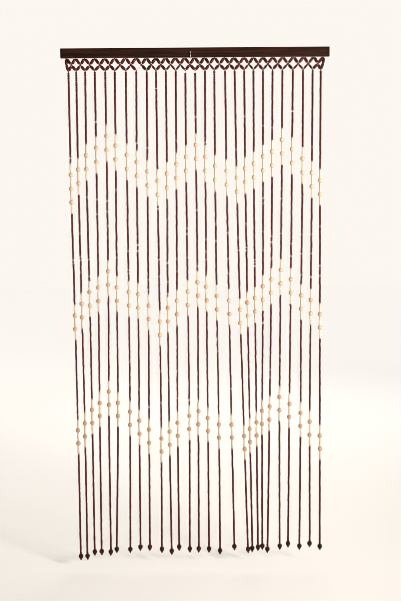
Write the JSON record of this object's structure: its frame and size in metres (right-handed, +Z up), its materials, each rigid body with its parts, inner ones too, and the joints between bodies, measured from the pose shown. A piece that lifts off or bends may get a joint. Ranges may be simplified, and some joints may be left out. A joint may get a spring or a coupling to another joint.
{
  "type": "bead curtain with its header rail",
  "caption": "Doorway curtain of wooden bead strings with zigzag pale bands, knotted in diamonds under a slat.",
  "frame": {"origin": "middle of the slat's back face, which lies on the wall", "axes": "+X along the slat to the viewer's right, +Y into the wall, +Z up; the strings hang towards -Z and the front looks towards -Y"},
  "size_m": [0.907, 0.0273, 1.7788],
  "materials": {
    "rail_wood": "dark stained wood, satin, fine long grain",
    "dark_bead": "small turned beads, red-brown lacquer",
    "pale_bead": "small turned beads, cream lacquer",
    "round_bead": "round turned beads of natural wood, clear lacquer",
    "end_bead": "end beads and stoppers, dark maroon lacquer",
    "tube_wood": "short wooden tubes, dark brown lacquer",
    "thread": "twisted cord, pale rose",
    "hook_steel": "bright drawn wire"
  },
  "bodies": {
    "root": {"rail": "rail_wood", "bead_strings": "dark_bead", "rail_hook": "hook_steel"}
  },
  "joints": []
}
